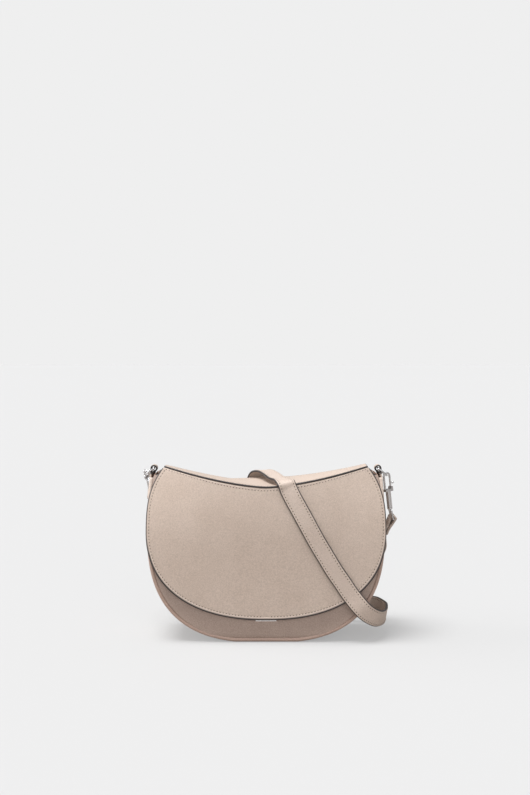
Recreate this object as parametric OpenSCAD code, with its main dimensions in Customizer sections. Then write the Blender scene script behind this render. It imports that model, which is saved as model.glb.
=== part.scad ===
/* [Body] */
// Width of the body over its side seams
body_w = 231; // [220:1:240]
// Height of the body's upper corners above the floor
body_h = 160; // [154:1:166]
// Depth of the body at its base
body_d = 70; // [64:1:80]
// Height at which the body is widest
waist_h = 114; // [108:1:120]
// How far the front panel draws in at its upper corners
front_draw = 15; // [10:1:18]
// How far the front leans back at the roof's middle
top_lean = 6; // [2:0.5:8]
// Height at which the front begins to lean back
lean_h = 95; // [85:1:110]
// How far the back panel draws in at its upper corners
back_draw = 4; // [1:0.5:8]
// Diameter of the piping along the front and back seams
piping_d = 4; // [3:0.2:5]
// Thickness of the outer leather
leather_t = 1.4; // [1:0.1:1.8]
// Thickness of the stiffening boards in the walls
board_t = 0.8; // [0.5:0.1:1.2]
// Thickness of the board in the base
base_board_t = 1.8; // [1:0.1:2.4]
// Thickness of the lining
lining_t = 0.6; // [0.4:0.1:0.9]
// Width of the slip pocket on the back lining
pocket_w = 110; // [80:1:130]
// Height of the slip pocket
pocket_h = 70; // [50:1:85]

/* [Flap] */
// Width of the flap's roof at its front corners
roof_w = 198.5; // [188:0.5:202]
// Height of the roof at its middle
roof_mid_h = 150.5; // [147:0.5:154]
// How much higher the roof's ends are than its middle
roof_rise = 18.5; // [12:0.5:20]
// Width of the flap at its widest
flap_w = 232; // [224:1:236]
// Height at which the flap is widest
flap_waist_h = 108.5; // [104:0.5:112]
// Height of the flap's lowest edge above the floor
flap_low_h = 22; // [18:0.5:32]
// Space between the front panel and the flap
flap_gap = 1.6; // [1.4:0.1:2.4]
// Thickness of the board inside the flap
flap_board_t = 0.8; // [0.6:0.1:1.2]
// How far the roof's painted edge stands proud of the flap's front
roof_proud = 0.5; // [0.2:0.1:1.2]

/* [Closure] */
// Width of the metal closure plate
plate_w = 20; // [14:1:28]
// Height of the metal closure plate
plate_h = 12; // [10:1:18]
// Thickness of the metal closure plate
plate_t = 1.1; // [0.8:0.1:1.2]
// How far the plate shows below the flap's edge
plate_show = 1.5; // [0.5:0.1:3]
// Diameter of the hidden magnets
magnet_d = 12; // [8:1:14]

/* [Rings and tabs] */
// Distance between the two ring bars
ring_span = 224; // [222:0.2:228]
// How far the ring tabs sit behind the body's middle
ring_back = 12; // [10:1:14]
// Outer diameter of the leather loop of a ring tab
tab_loop_d = 7; // [6:0.2:8]
// Width of a ring tab
tab_w = 9; // [8:1:12]
// Length of the tab's legs, outside and inside the gusset
tab_leg = 20; // [14:1:30]
// Thickness of the tab's legs
tab_leg_t = 1.4; // [1.2:0.1:1.8]
// Width of a D-ring over its wire's centre lines
ring_w = 16; // [15:0.5:18]
// Diameter of the D-ring's wire
ring_wire_d = 2; // [1.6:0.1:2.2]
// Straight length of a D-ring's sides
ring_side = 3.6; // [2:0.1:4]

/* [Snap hooks] */
// Inner width of the snap hook's window
window_w = 5.5; // [5.3:0.1:6.4]
// Length of the hook's window
window_l = 15.2; // [14.6:0.2:18]
// Diameter of the hook's wire
hook_wire_d = 2; // [1.6:0.1:2.2]
// Diameter of the hook's barrel
barrel_d = 5.2; // [4.8:0.1:6]
// Length of the hook's barrel
barrel_l = 16; // [12:0.5:20]
// Diameter of the swivel post
post_d = 2.2; // [1.8:0.1:2.6]
// Running clearance round the post and the gate pins, on the radius
running_gap = 0.06; // [0.04:0.01:0.1]
// Diameter of the gate's pin
pin_d = 1; // [0.8:0.1:1.2]
// Inner width of the eye that holds the strap
eye_w = 18.6; // [18.2:0.2:22]
// Height of the eye over its wire's centre lines
eye_h = 9; // [8:0.5:12]

/* [Strap] */
// Width of the shoulder strap
strap_w = 17.4; // [14:0.2:18]
// Thickness of the shoulder strap
strap_t = 2.2; // [1.6:0.1:2.6]
// Length of the folded tail at each end of the strap
strap_tail = 16; // [16:1:28]

/* [Hidden] */
layer_gap = 0.2; // between two layers of one wall
seat_gap = 0.3; // between a piece and the one that carries it
clear = 0.4; // between pieces that move past each other
overrun = 1;
half_w = body_w / 2;
half_d = body_d / 2;
base_flat_share = 0.99; // share of the lower curve's height that stands above the floor
side_power = 2.7; // shape of the body's lower curve
base_h = waist_h / base_flat_share;
shoulder_in = 0.013 * half_w;
roof_power = 1.5;
flap_power = 2.29;
flap_shoulder_power = 2.9;
flap_shoulder_in = 0.0675 * flap_w;
arc_steps = 13;
shoulder_steps = 3;
top_steps = 14;
rings = 7;
tube_sides = 8;
round_n = 32;
wall_t = leather_t + board_t + lining_t + 2 * layer_gap;
flap_t = leather_t + flap_board_t + lining_t + 2 * layer_gap;
roof_t = leather_t + flap_board_t;
flap_face = flap_gap + flap_t; // from the front panel's face to the flap's outer face
seam_r = piping_d / 2;
panel_in = piping_d + seat_gap; // inset of the panels from the outline

// Shape of the body. Every outline is a list of [x, z] points seen from the front.
function lift(x, z) = pow(abs(x) / half_w, 2) * pow(z / body_h, 2);
function front_y(x, z) = half_d - front_draw * lift(x, z)
    - top_lean * pow(max(0, z - lean_h) / (roof_mid_h - lean_h), 2);
function back_y(x, z) = half_d - back_draw * lift(x, z);
function roof_z(x) = roof_mid_h + roof_rise * pow(abs(x) * 2 / roof_w, roof_power);
function rim_z(x, low) = min(roof_z(x) - flap_t - clear, body_h) - low;
// Half of the body's outline from the base up to the shoulder, drawn in by an inset
function side_points(inset, top) =
    let(share = (waist_h - inset) / (base_h - inset), t0 = asin(pow(share, side_power / 2)))
    concat(
        [for (k = [0:arc_steps]) let(t = t0 * (1 - k / arc_steps))
            [(half_w - inset) * pow(cos(t), 2 / side_power),
             waist_h - (base_h - inset) * pow(sin(t), 2 / side_power)]],
        [for (k = [1:shoulder_steps]) let(z = waist_h + (top - waist_h) * k / shoulder_steps)
            [half_w - inset - shoulder_in * pow((z - waist_h) / (body_h - waist_h), 2), z]]);
function mirrored(points) = [for (k = [len(points) - 1:-1:0]) [-points[k][0], points[k][1]]];
// Closed outline of a wall layer: base, right side, concave rim, left side
function wall_outline(inset, low) =
    let(right = side_points(inset, body_h - low - piping_d / 2), last = right[len(right) - 1],
        reach = last[0] - piping_d / 2)
    concat(right,
        [for (k = [0:top_steps]) let(x = reach * (1 - 2 * k / top_steps)) [x, rim_z(x, low)]],
        mirrored(right));
// Closed outline of a flap layer
function flap_side(inset, below) =
    let(a = flap_w / 2 - inset, b = flap_waist_h - flap_low_h - inset,
        top = roof_z(roof_w / 2) - below - inset)
    concat(
        [for (k = [0:arc_steps]) let(t = 90 * (1 - k / arc_steps))
            [a * pow(cos(t), 2 / flap_power), flap_waist_h - b * pow(sin(t), 2 / flap_power)]],
        [for (k = [1:shoulder_steps + 1]) let(s = k / (shoulder_steps + 1))
            [a - flap_shoulder_in * pow(s, flap_shoulder_power),
             flap_waist_h + (top - flap_waist_h) * s]]);
function flap_outline(inset, below) =
    let(right = flap_side(inset, below), reach = roof_w / 2 - inset)
    concat(right,
        [for (k = [0:top_steps]) let(x = reach * (1 - 2 * k / top_steps))
            [x, roof_z(x) - below - layer_gap - inset]],
        [for (p = mirrored(right)) if (p[1] > flap_low_h + inset) p]);

// A curved sheet inside an outline. near and far give its front and back faces' places along Y.
module sheet(outline, middle, near, far) {
    n = len(outline);
    flat = concat([middle], [for (r = [1:rings]) for (p = outline) middle + (p - middle) * r / rings]);
    m = len(flat);
    fan = [for (i = [0:n - 1]) [0, 1 + (i + 1) % n, 1 + i]];
    bands = [for (r = [0:rings - 2]) for (i = [0:n - 1])
        let(a = 1 + r * n + i, b = 1 + r * n + (i + 1) % n) for (f = [[a, b, b + n], [a, b + n, a + n]]) f];
    edge = [for (i = [0:n - 1]) let(a = 1 + (rings - 1) * n + i, b = 1 + (rings - 1) * n + (i + 1) % n)
        for (f = [[a, b, b + m], [a, b + m, a + m]]) f];
    polyhedron(
        concat([for (p = flat) [p[0], near(p[0], p[1]), p[1]]], [for (p = flat) [p[0], far(p[0], p[1]), p[1]]]),
        concat(fan, bands,
            [for (f = concat(fan, bands)) [f[0] + m, f[2] + m, f[1] + m]],
            edge));
}
// A solid swept through sections that each hold the same even number of points, with flat ends
module swept(sections) {
    n = len(sections[0]);
    last = len(sections) - 1;
    polyhedron([for (s = sections) for (p = s) p],
        concat([for (k = [0:last - 1]) for (i = [0:n - 1])
            let(a = k * n + i, b = k * n + (i + 1) % n) for (f = [[a, b, b + n], [a, b + n, a + n]]) f],
            [for (i = [0:n / 2 - 2]) for (f = [[i, n - 2 - i, i + 1], [i, n - 1 - i, n - 2 - i]]) f],
            [for (i = [0:n / 2 - 2]) for (f = [[i, i + 1, n - 2 - i], [i, n - 2 - i, n - 1 - i]])
                [for (v = f) last * n + v]]));
}
// Front and back walls: a layer from depth d0 to depth d1 inside the front or back face
module front_layer(inset, low, d0, d1) {
    sheet(wall_outline(inset, low), [0, body_h / 2],
        function(x, z) d0 - front_y(x, z), function(x, z) d1 - front_y(x, z));
}
module back_layer(inset, low, d0, d1) {
    sheet(wall_outline(inset, low), [0, body_h / 2],
        function(x, z) back_y(x, z) - d1, function(x, z) back_y(x, z) - d0);
}
// The open path round the sides and base, from the left corner to the right one
function side_path(inset, low) = let(right = side_points(inset, body_h - low)) concat(
    [for (k = [len(right) - 1:-1:0]) [-right[k][0], right[k][1]]], right);
// A wall that runs round the sides and base, between two insets, and ends short of the seams
module side_band(inset, t, low, short) {
    outer = side_path(inset, low);
    inner = side_path(inset + t, low);
    steps = 4;
    swept([for (k = [0:len(outer) - 1]) let(o = outer[k], i = inner[k],
        f = -front_y(o[0], o[1]) + short, b = back_y(o[0], o[1]) - short)
        concat([for (s = [0:steps]) [o[0], f + (b - f) * s / steps, o[1]]],
            [for (s = [steps:-1:0]) [i[0], f + (b - f) * s / steps, i[1]]])]);
}
// A round piping along a seam. place gives the seam's place along Y.
module seam_piping(place) {
    path = side_path(seam_r, seam_r);
    n = len(path);
    swept([for (k = [0:n - 1]) let(p = path[k], q = path[min(k + 1, n - 1)] - path[max(k - 1, 0)],
        out = [q[1], -q[0]] / norm(q))
        [for (i = [0:tube_sides - 1]) let(a = 360 * i / tube_sides)
            [p[0] + out[0] * seam_r * cos(a), place(p[0], p[1]) + seam_r * sin(a), p[1] + out[1] * seam_r * cos(a)]]]);
}

module front_panel() color([0.66, 0.58, 0.53]) front_layer(panel_in, 0, 0, leather_t);
module back_panel() color([0.72, 0.64, 0.58]) back_layer(panel_in, 0, 0, leather_t);
module gusset() color([0.70, 0.62, 0.56]) side_band(0, leather_t, 0, piping_d - wall_t / 4 + layer_gap);
module front_piping() color([0.62, 0.52, 0.47])
    seam_piping(function(x, z) seam_r - 2 * layer_gap - front_y(x, z));
module back_piping() color([0.62, 0.52, 0.47])
    seam_piping(function(x, z) back_y(x, z) - seam_r + 2 * layer_gap);
board_depth = leather_t + layer_gap;
lining_depth = board_depth + board_t + layer_gap;
module front_board() color([0.60, 0.55, 0.48])
    front_layer(panel_in + leather_t, leather_t, board_depth, board_depth + board_t);
module back_board() color([0.60, 0.55, 0.48])
    back_layer(panel_in + leather_t, leather_t, board_depth, board_depth + board_t);
module front_lining() color([0.80, 0.73, 0.66])
    front_layer(panel_in + leather_t, 0, lining_depth, lining_depth + lining_t);
module back_lining() color([0.80, 0.73, 0.66])
    back_layer(panel_in + leather_t, 0, lining_depth, lining_depth + lining_t);
// The inner leg of each ring tab lies between the gusset and its lining, as the base board does
side_space = max(base_board_t, tab_leg_t) + 2 * clear;
gusset_lining_in = leather_t + side_space;
module gusset_lining() color([0.80, 0.73, 0.66])
    side_band(gusset_lining_in, lining_t, leather_t, lining_depth + lining_t + layer_gap);
base_board_w = half_w / 2;
module base_board() color([0.60, 0.55, 0.48])
    translate([-base_board_w / 2, -half_d + piping_d + clear, leather_t + layer_gap])
    cube([base_board_w, body_d - 2 * (piping_d + clear), base_board_t]);
pocket_low = body_h / 3;
module slip_pocket() color([0.78, 0.70, 0.63]) {
    depth = lining_depth + lining_t + seat_gap;
    outline = [[-pocket_w / 2, pocket_low], [0, pocket_low], [pocket_w / 2, pocket_low],
        [pocket_w / 2, pocket_low + pocket_h / 2], [pocket_w / 2, pocket_low + pocket_h],
        [0, pocket_low + pocket_h], [-pocket_w / 2, pocket_low + pocket_h],
        [-pocket_w / 2, pocket_low + pocket_h / 2]];
    sheet(outline, [0, pocket_low + pocket_h / 2],
        function(x, z) back_y(x, z) - depth - lining_t, function(x, z) back_y(x, z) - depth);
}

// Closure: a plate on the front panel, a magnet behind it and one in the flap
plate_low = flap_low_h - plate_show;
magnet_z = plate_low + plate_h / 2;
module closure_plate() color([0.85, 0.85, 0.86])
    translate([-plate_w / 2, -front_y(0, plate_low) - plate_t, plate_low])
    cube([plate_w, plate_t, plate_h]);
magnet_t = flap_board_t;
magnet_in = magnet_d / 2 + seat_gap;
module closure_magnet() color([0.55, 0.55, 0.57])
    translate([0, -half_d + lining_depth + lining_t + layer_gap + magnet_t, magnet_z + magnet_d / 2])
    rotate([90, 0, 0]) cylinder(h = magnet_t, d = magnet_d, $fn = round_n);
flap_magnet_z = flap_low_h + magnet_d;
module flap_magnet() color([0.55, 0.55, 0.57])
    translate([0, -half_d - flap_gap - lining_t - layer_gap, flap_magnet_z])
    rotate([90, 0, 0]) cylinder(h = magnet_t, d = magnet_d, $fn = round_n);

// Flap
module flap_layer(inset, below, d0, d1) {
    sheet(flap_outline(inset, below), [0, flap_waist_h],
        function(x, z) -front_y(x, z) - d1, function(x, z) -front_y(x, z) - d0);
}
module flap_front() color([0.74, 0.67, 0.61]) flap_layer(0, roof_t, flap_face - leather_t, flap_face);
module flap_lining() color([0.80, 0.73, 0.66]) flap_layer(leather_t / 2, flap_t, flap_gap, flap_gap + lining_t);
module flap_board() color([0.60, 0.55, 0.48]) difference() {
    flap_layer(leather_t, flap_t, flap_gap + lining_t + layer_gap, flap_gap + lining_t + layer_gap + flap_board_t);
    translate([0, -half_d, flap_magnet_z]) rotate([90, 0, 0])
        cylinder(h = flap_face + overrun, d = magnet_d + 2 * seat_gap, $fn = round_n);
}
// A curved slab over the top, from the flap's front to the back seam
module roof_slab(inset, drop, t, proud) {
    columns = 24;
    rows = 4;
    reach = roof_w / 2 - inset;
    grid = [for (c = [0:columns]) let(x = reach * (2 * c / columns - 1), z = roof_z(x) - drop,
        f = -front_y(x, z) - flap_face - proud, b = back_y(x, z) - inset)
        concat([for (r = [0:rows]) [x, f + (b - f) * r / rows, z]],
            [for (r = [rows:-1:0]) [x, f + (b - f) * r / rows, z - t]])];
    swept([for (k = [len(grid) - 1:-1:0]) grid[k]]);
}
module flap_roof() color([0.90, 0.84, 0.78]) roof_slab(0, 0, roof_t, roof_proud);
module roof_lining() color([0.80, 0.73, 0.66])
    roof_slab(leather_t, roof_t + layer_gap, lining_t, -leather_t - 2 * layer_gap);

// Ring tabs: a folded leather strip over the gusset's top edge, with a ring in its loop
ring_x = ring_span / 2;
ring_z = body_h + tab_loop_d / 2;
gusset_top_x = half_w - shoulder_in;
tab_hole_d = ring_wire_d + 2 * clear;
tab_heights = [for (k = [0:2]) body_h - tab_leg * k / 2];
loop_ends = [-25, 220]; // angles between which the loop is round
// One side of a tab's leg, beside the gusset's leaning edge
function leg_line(off) = [for (z = tab_heights)
    [half_w - shoulder_in * pow((z - waist_h) / (body_h - waist_h), 2) + off - ring_x, z - ring_z]];
function upwards(line) = [line[2], line[1], line[0]];
module ring_tab(side) {
    crotch = -tab_loop_d / 2 + seat_gap;
    arc = [for (k = [0:round_n / 2]) let(a = loop_ends[0] + (loop_ends[1] - loop_ends[0]) * k * 2 / round_n)
        tab_loop_d / 2 * [cos(a), sin(a)]];
    inner = leg_line(-leather_t - seat_gap);
    outer = leg_line(seat_gap);
    translate([side * ring_x, ring_back, ring_z]) scale([side, 1, 1]) rotate([90, 0, 0]) difference() {
        linear_extrude(height = tab_w, center = true) polygon(concat(
            upwards(leg_line(seat_gap + tab_leg_t)), arc, leg_line(-leather_t - seat_gap - tab_leg_t),
            [inner[2], inner[1], [inner[0][0], crotch], [outer[0][0], crotch]], [outer[1], outer[2]]));
        cylinder(h = tab_w + overrun, d = tab_hole_d, center = true, $fn = round_n);
    }
}
module left_ring_tab() color([0.72, 0.64, 0.58]) ring_tab(-1);
module right_ring_tab() color([0.72, 0.64, 0.58]) ring_tab(1);

// D-rings: a straight bar in the tab's loop and a bow that leans outwards
ring_r = ring_wire_d / 2;
right_ring_lean = 40;
left_ring_lean = 35;
module d_ring(side, lean) {
    translate([side * ring_x, ring_back, ring_z]) scale([side, 1, 1]) rotate([0, lean, 0]) {
        rotate([90, 0, 0]) cylinder(h = ring_w, r = ring_r, center = true, $fn = round_n);
        for (y = [-ring_w / 2, ring_w / 2]) translate([0, y, 0]) {
            sphere(r = ring_r, $fn = round_n);
            rotate([0, 90, 0]) cylinder(h = ring_side, r = ring_r, $fn = round_n);
        }
        translate([ring_side, 0, 0]) rotate([0, 0, -90])
            rotate_extrude(angle = 180, $fn = round_n * 2) translate([ring_w / 2, 0]) circle(r = ring_r, $fn = round_n);
    }
}
module left_d_ring() color([0.82, 0.82, 0.83]) d_ring(-1, left_ring_lean);
module right_d_ring() color([0.82, 0.82, 0.83]) d_ring(1, right_ring_lean);

// Snap hooks. Each is drawn hanging down from the ring's wire, with its window facing along Y.
hook_r = hook_wire_d / 2;
crown_r = window_w / 2 + hook_r;
crown_z = ring_r + seat_gap - window_w / 2;
base_z = crown_z + window_w / 2 - window_l;
base_t = 1.2 * hook_wire_d;
base_half = crown_r + hook_r;
fork_w = 2.4 * hook_wire_d;
knuckle_w = 1.1 * hook_wire_d;
knuckle_r = 1.15 * hook_r;
pivot_z = base_z + knuckle_r + seat_gap;
nose_z = crown_z - 1.1 * hook_wire_d;
barrel_top = base_z - base_t;
barrel_low = barrel_top - barrel_l;
post_bore_l = barrel_l / 2;
head_t = 0.6 * post_d;
head_d = post_d + 0.5 * post_d;
chamber_d = head_d + 2 * layer_gap;
collar_t = 0.6 * post_d;
collar_z = barrel_low - seat_gap;
eye_r = hook_r;
eye_top = collar_z - collar_t - eye_r / 2;
eye_lean = 8; // of the right eye, away from the body
module hook_shape() {
    difference() {
        union() {
            translate([0, 0, crown_z]) rotate([90, 0, 0])
                rotate_extrude(angle = 180, $fn = round_n * 2) translate([crown_r, 0]) circle(r = hook_r, $fn = round_n);
            translate([-crown_r, 0, base_z - base_t / 2]) cylinder(h = crown_z - base_z + base_t / 2, r = hook_r, $fn = round_n);
            translate([crown_r, 0, nose_z]) cylinder(h = crown_z - nose_z, r = hook_r, $fn = round_n);
            translate([-base_half, -fork_w / 2, base_z - base_t]) cube([2 * base_half, fork_w, base_t]);
            for (s = [-1, 1]) translate([crown_r, s * (fork_w + knuckle_w + 2 * layer_gap) / 4, 0]) {
                ear = (fork_w - knuckle_w) / 2 - layer_gap;
                translate([0, 0, pivot_z]) rotate([90, 0, 0])
                    cylinder(h = ear, r = knuckle_r, center = true, $fn = round_n);
                translate([-knuckle_r, -ear / 2, base_z - base_t / 2])
                    cube([2 * knuckle_r, ear, pivot_z - base_z + base_t / 2]);
            }
            translate([0, 0, barrel_low]) cylinder(h = barrel_l + base_t / 2, d = barrel_d, $fn = round_n);
        }
        translate([crown_r, 0, pivot_z]) rotate([90, 0, 0])
            cylinder(h = fork_w + overrun, d = pin_d + layer_gap / 10, center = true, $fn = round_n);
        translate([0, 0, barrel_low - overrun])
            cylinder(h = post_bore_l + overrun, d = post_d + 2 * running_gap, $fn = round_n);
        translate([0, 0, barrel_low + post_bore_l - overrun / 10])
            cylinder(h = head_t + 2 * layer_gap + overrun / 10, d = chamber_d, $fn = round_n);
    }
}
module gate_shape() {
    gate_top = nose_z - seat_gap;
    difference() {
        translate([crown_r, 0, 0]) union() {
            translate([0, 0, pivot_z]) rotate([90, 0, 0])
                cylinder(h = knuckle_w, r = knuckle_r, center = true, $fn = round_n);
            translate([0, 0, pivot_z]) cylinder(h = gate_top - pivot_z, r = hook_r * 0.9, $fn = round_n);
            translate([0, 0, (pivot_z + gate_top) / 2]) rotate([0, 90, 0])
                cylinder(h = 1.6 * hook_wire_d, r = hook_r * 0.8, $fn = round_n);
            translate([1.6 * hook_wire_d, 0, (pivot_z + gate_top) / 2]) sphere(r = hook_r * 1.2, $fn = round_n);
        }
        translate([crown_r, 0, pivot_z]) rotate([90, 0, 0])
            cylinder(h = fork_w, d = pin_d + 2 * running_gap, center = true, $fn = round_n);
    }
}
module pin_shape() {
    translate([crown_r, 0, pivot_z]) rotate([90, 0, 0]) cylinder(h = fork_w, d = pin_d, center = true, $fn = round_n);
}
module eye_shape(lean) {
    translate([0, 0, collar_z - overrun / 10])
        cylinder(h = post_bore_l + seat_gap + layer_gap * 2 + overrun / 10, d = post_d, $fn = round_n);
    translate([0, 0, barrel_low + post_bore_l + layer_gap]) cylinder(h = head_t, d = head_d, $fn = round_n);
    translate([0, 0, collar_z - collar_t]) cylinder(h = collar_t, d = barrel_d, $fn = round_n);
    translate([0, 0, eye_top]) rotate([0, -lean, 0]) {
        half = eye_w / 2 + eye_r;
        for (z = [0, -eye_h]) translate([0, 0, z]) rotate([90, 0, 0])
            cylinder(h = 2 * half, r = eye_r, center = true, $fn = round_n);
        for (y = [-half, half]) translate([0, y, -eye_h]) {
            cylinder(h = eye_h, r = eye_r, $fn = round_n);
            for (z = [0, eye_h]) translate([0, 0, z]) sphere(r = eye_r, $fn = round_n);
        }
    }
}

// Where each hook hangs, worked out from the ring that it hangs on
function turn_x(a, v) = [v[0], v[1] * cos(a) - v[2] * sin(a), v[1] * sin(a) + v[2] * cos(a)];
function turn_y(a, v) = [v[0] * cos(a) + v[2] * sin(a), v[1], v[2] * cos(a) - v[0] * sin(a)];
function turn_z(a, v) = [v[0] * cos(a) - v[1] * sin(a), v[0] * sin(a) + v[1] * cos(a), v[2]];
function on_ring(side, lean, around) =
    let(p = turn_y(lean, [ring_side + ring_w / 2 * sin(around), ring_w / 2 * cos(around), 0]))
    [side * (ring_x + p[0]), ring_back + p[1], ring_z + p[2]];
right_hook_around = 90; // angle round the ring's bow, from its back end
right_hook_at = on_ring(1, right_ring_lean, right_hook_around);
right_hook_lean = 6; // away from the body
right_hook_twist = 35; // about the hook's own length
left_hook_around = 45;
left_hook_at = on_ring(-1, left_ring_lean, left_hook_around);
left_hook_tip = 56; // from hanging straight down towards lying back
left_hook_turn = 0; // about the upright
left_hook_twist = 130;
module right_frame() translate(right_hook_at) rotate([0, -right_hook_lean, 0]) children();
module left_frame() translate(left_hook_at) rotate([left_hook_tip, 0, left_hook_turn]) children();
module left_hook() color([0.84, 0.84, 0.85]) left_frame() rotate([0, 0, left_hook_twist]) hook_shape();
module right_hook() color([0.84, 0.84, 0.85]) right_frame() rotate([0, 0, right_hook_twist]) hook_shape();
module left_gate() color([0.80, 0.80, 0.81]) left_frame() rotate([0, 0, left_hook_twist]) gate_shape();
module right_gate() color([0.80, 0.80, 0.81]) right_frame() rotate([0, 0, right_hook_twist]) gate_shape();
module left_gate_pin() color([0.72, 0.72, 0.74]) left_frame() rotate([0, 0, left_hook_twist]) pin_shape();
module right_gate_pin() color([0.72, 0.72, 0.74]) right_frame() rotate([0, 0, right_hook_twist]) pin_shape();
module left_swivel_eye() color([0.84, 0.84, 0.85]) left_frame() eye_shape(0);
module right_swivel_eye() color([0.84, 0.84, 0.85]) right_frame() eye_shape(eye_lean);

// Shoulder strap. Each place on its route is [middle of the strap, direction of its width].
eye_bar_z = [0, 0, -eye_h];
right_bar = right_hook_at + turn_y(-right_hook_lean, [0, 0, eye_top] + turn_y(-eye_lean, eye_bar_z));
left_bar = left_hook_at + turn_z(left_hook_turn, turn_x(left_hook_tip, [0, 0, eye_top] + eye_bar_z));
left_width = turn_z(left_hook_turn, turn_x(left_hook_tip, [0, 1, 0]));
left_away = turn_z(left_hook_turn, turn_x(left_hook_tip, [0, 0, -1]));
right_width = [0, 1, 0];
right_strap_lean = 22; // towards the body
right_away = turn_y(right_strap_lean, [0, 0, -1]);
bar_turn = eye_r + seat_gap + strap_t / 2;
strap_lift = 1.5 * clear; // between the roof's edge and the strap
fold_steps = 6;
// Going round a bar: a tail beside the strap, half a turn, and away along the strap
function fold(bar, away, out, width) = concat(
    [[bar + away * strap_tail + out * (bar_turn - strap_t - seat_gap), width],
     [bar + away * strap_tail * 0.7 + out * (bar_turn - strap_t - seat_gap), width]],
    [for (k = [0:fold_steps]) let(a = 180 * k / fold_steps)
        [bar - bar_turn * (out * cos(a) + away * sin(a)), width]],
    [[bar + away * strap_tail * 0.5 + out * bar_turn, width],
     [bar + away * strap_tail + out * bar_turn, width]]);
function reversed(list) = [for (k = [len(list) - 1:-1:0]) list[k]];
function on_flap(x, z) = let(px = x * half_w, pz = z * body_h)
    [px, -front_y(px, pz) - flap_face - roof_proud - strap_lift - strap_t / 2, pz];
function over_roof(x, y, rise) = [x * half_w, y * half_d, roof_mid_h + rise * strap_w];
function round_side(x, y, z) = [x * half_w, y * half_d, z * body_h];
function behind(x, y, z) = [x * half_w, half_d + y * strap_w, z * body_h];
function on_floor(x, y) = [x * half_w, half_d + y * strap_w, strap_w / 2 + clear];
left_hang_shares = [
    [behind(-0.94, 2.75, 0.68), [0.3, 0.7, 0.65]],
    [behind(-0.83, 3.2, 0.54), [0.3, 0.95, 0.3]],
    [behind(-0.69, 3.05, 0.38), [0.2, 0.97, 0]],
    [behind(-0.52, 2.65, 0.21), [0.2, 0.98, 0]],
    [behind(-0.31, 2.35, 0.125), [0, 1, 0]],
    [behind(-0.15, 2.1, 0.21), [0.2, 0.96, 0.1]],
    [behind(-0.09, 1.65, 0.41), [0.5, 0.85, 0.15]],
    [behind(-0.09, 1.2, 0.62), [0.85, 0.5, 0.1]],
    [behind(-0.10, 0.85, 0.8), [0.97, 0.25, 0.05]],
    [behind(-0.10, 0.5, 0.915), [0.97, 0.25, 0]]];
over_top_shares = [
    [over_roof(-0.07, 1.0, 0.32), [0.95, 0.3, 0]],
    [over_roof(-0.01, 0.66, 0.5), [0.92, 0.38, 0]],
    [over_roof(0.045, 0.16, 0.44), [0.91, 0.4, 0]],
    [over_roof(0.094, -0.38, 0.33), [0.92, 0.38, 0]],
    [over_roof(0.135, -0.73, 0.31), [0.93, 0.36, 0]],
    [over_roof(0.166, -1.0, 0.2), [0.92, 0.25, 0.25]]];
down_front_shares = [
    [on_flap(0.187, 0.925), [0.9, 0.1, 0.4]],
    [on_flap(0.224, 0.872), [0.88, 0, 0.46]],
    [on_flap(0.27, 0.812), [0.87, 0, 0.5]],
    [on_flap(0.343, 0.716), [0.87, 0, 0.5]],
    [on_flap(0.417, 0.618), [0.86, 0, 0.51]],
    [on_flap(0.491, 0.528), [0.85, 0, 0.53]],
    [on_flap(0.563, 0.442), [0.83, 0, 0.56]],
    [on_flap(0.635, 0.366), [0.8, 0, 0.6]],
    [on_flap(0.707, 0.29), [0.78, 0, 0.63]],
    [round_side(0.817, -1.19, 0.197), [0.68, 0, 0.73]],
    [round_side(0.926, -0.83, 0.136), [0.5, 0, 0.87]],
    [round_side(1.0, -0.37, 0.118), [0.35, 0.15, 0.92]],
    [round_side(1.035, 0.09, 0.122), [0.15, 0.42, 0.9]],
    [round_side(1.01, 0.45, 0.13), [-0.05, 0.58, 0.81]],
    [round_side(0.95, 0.84, 0.132), [-0.1, 0.58, 0.81]]];
floor_turn_shares = [
    [behind(0.86, 0.36, 0.105), [-0.15, 0.45, 0.88]],
    [behind(0.66, 0.72, 0.07), [-0.1, 0.25, 0.96]],
    [on_floor(0.40, 0.8), [0, 0, 1]],
    [on_floor(0.16, 0.9), [0, 0, 1]],
    [on_floor(0.04, 1.3), [0, 0, 1]],
    [on_floor(-0.01, 2.0), [0, 0, 1]],
    [on_floor(0.04, 2.7), [0, 0, 1]],
    [on_floor(0.16, 3.05), [0, 0, 1]],
    [behind(0.34, 2.95, 0.07), [-0.1, 0.1, 0.99]]];
right_hang_shares = [
    [behind(0.53, 2.5, 0.12), [-0.3, 0.35, 0.89]],
    [behind(0.72, 1.75, 0.2), [-0.2, 0.7, 0.68]],
    [behind(0.88, 1.15, 0.3), [-0.1, 0.8, 0.6]],
    [behind(0.99, 0.5, 0.41), [0, 0.85, 0.5]],
    [round_side(1.04, 0.72, 0.52), [0, 0.97, 0.2]]];
route = concat(fold(left_bar, left_away, cross(left_away, left_width), left_width), left_hang_shares, over_top_shares,
    down_front_shares, floor_turn_shares, right_hang_shares,
    reversed(fold(right_bar, right_away, cross(right_width, right_away), right_width)));
function smooth(a, b, c, d, t) =
    (2 * b + (c - a) * t + (2 * a - 5 * b + 4 * c - d) * t * t + (3 * b - a - 3 * c + d) * t * t * t) / 2;
function unit_of(v) = v / norm(v);
route_end = len(route) - 1;
fold_places = fold_steps + 4;
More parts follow.
